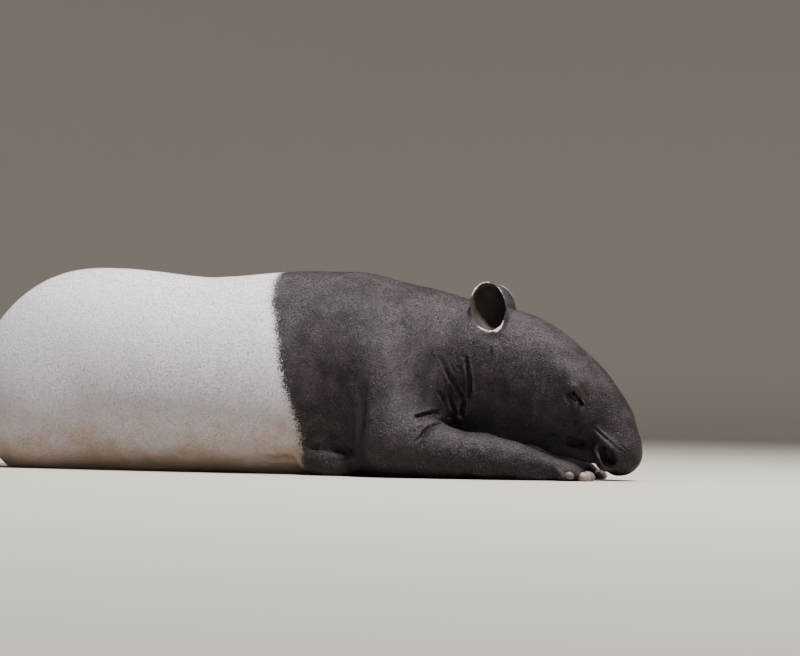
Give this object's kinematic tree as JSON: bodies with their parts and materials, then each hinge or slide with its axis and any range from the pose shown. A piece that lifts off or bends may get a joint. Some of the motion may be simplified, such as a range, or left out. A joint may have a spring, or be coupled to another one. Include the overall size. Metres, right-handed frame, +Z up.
{
  "type": "malayan tapir",
  "caption": "Life-size Malayan tapir asleep on its chest, forelegs out in front, snout on the floor and hind legs put out to its left.",
  "frame": {"origin": "middle of the lying animal's own bounds, on the floor", "axes": "+X towards the nose, +Y to the animal's left, +Z up"},
  "size_m": [1.7362, 0.6774, 0.5072],
  "materials": {
    "black_coat": "short smooth black coat on thick hide, satin",
    "white_coat": "short grey-white coat on thick hide, matt",
    "hoof_horn": "worn horn, matt"
  },
  "bodies": {
    "root": {"barrel": "white_coat", "chest": "black_coat", "ear_left": "black_coat", "ear_right": "black_coat", "eye_left": "black_coat", "eye_right": "black_coat", "forefoot_left": "black_coat", "forefoot_right": "black_coat", "forehoof_left_1": "hoof_horn", "forehoof_left_2": "hoof_horn", "forehoof_left_3": "hoof_horn", "forehoof_left_4": "hoof_horn", "forehoof_right_1": "hoof_horn", "forehoof_right_2": "hoof_horn", "forehoof_right_3": "hoof_horn", "forehoof_right_4": "hoof_horn", "foreleg_left": "black_coat", "foreleg_right": "black_coat", "head": "black_coat", "hindfoot_left": "black_coat", "hindfoot_right": "black_coat", "hindhoof_left_1": "hoof_horn", "hindhoof_left_2": "hoof_horn", "hindhoof_left_3": "hoof_horn", "hindhoof_right_1": "hoof_horn", "hindhoof_right_2": "hoof_horn", "hindhoof_right_3": "hoof_horn", "lower_jaw": "black_coat", "neck": "black_coat", "rump": "white_coat", "shank_left": "black_coat", "shank_right": "black_coat", "snout": "black_coat", "tail": "white_coat", "thigh_left": "white_coat"}
  },
  "joints": []
}
